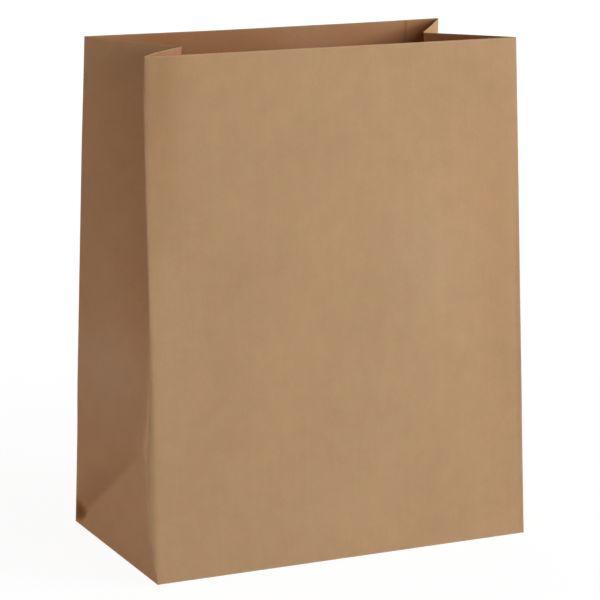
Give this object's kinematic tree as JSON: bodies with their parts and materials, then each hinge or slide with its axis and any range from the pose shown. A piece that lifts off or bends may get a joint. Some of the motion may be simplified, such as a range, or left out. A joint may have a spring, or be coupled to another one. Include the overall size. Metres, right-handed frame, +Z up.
{
  "type": "paper lunch bag",
  "caption": "Plain brown kraft paper lunch bag, standing open, with a folded block base and creased side gussets, for carrying food.",
  "frame": {"origin": "centre of the underside of the base, on the surface that the bag stands on", "axes": "+Z up towards the open mouth, -Y out of the smooth front panel, +X along the panels' width to the right as seen from the front"},
  "size_m": [0.22, 0.112, 0.2723],
  "materials": {
    "kraft_paper": "uncoated brown kraft paper, matt, with a faint lengthwise grain and soft mottling"
  },
  "bodies": {
    "root": {"paper_bag": "kraft_paper"}
  },
  "joints": []
}
